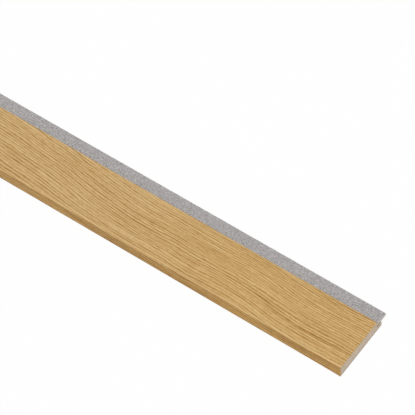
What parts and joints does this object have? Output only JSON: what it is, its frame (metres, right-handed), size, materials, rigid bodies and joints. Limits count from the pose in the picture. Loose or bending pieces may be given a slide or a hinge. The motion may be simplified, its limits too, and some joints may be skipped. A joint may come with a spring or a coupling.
{
  "type": "acoustic panel end trim",
  "caption": "Long flat veneered board strip with a felt ledge and a grooved, lipped edge, closing off the end of an acoustic slat wall panel.",
  "frame": {"origin": "centre of the footprint, on the flat back that lies on the floor", "axes": "+X along the strip, +Y across it from the veneered edge towards the felt, +Z out of the veneered face"},
  "size_m": [2.4, 0.062, 0.012],
  "materials": {
    "raw_mdf": "matt, sawn and routed board",
    "oak": "satin clear-lacquered oak veneer",
    "grey_felt": "matt needled felt"
  },
  "bodies": {
    "root": {"mdf_profile": "raw_mdf", "oak_veneer": "oak", "felt_strip": "grey_felt"}
  },
  "joints": []
}
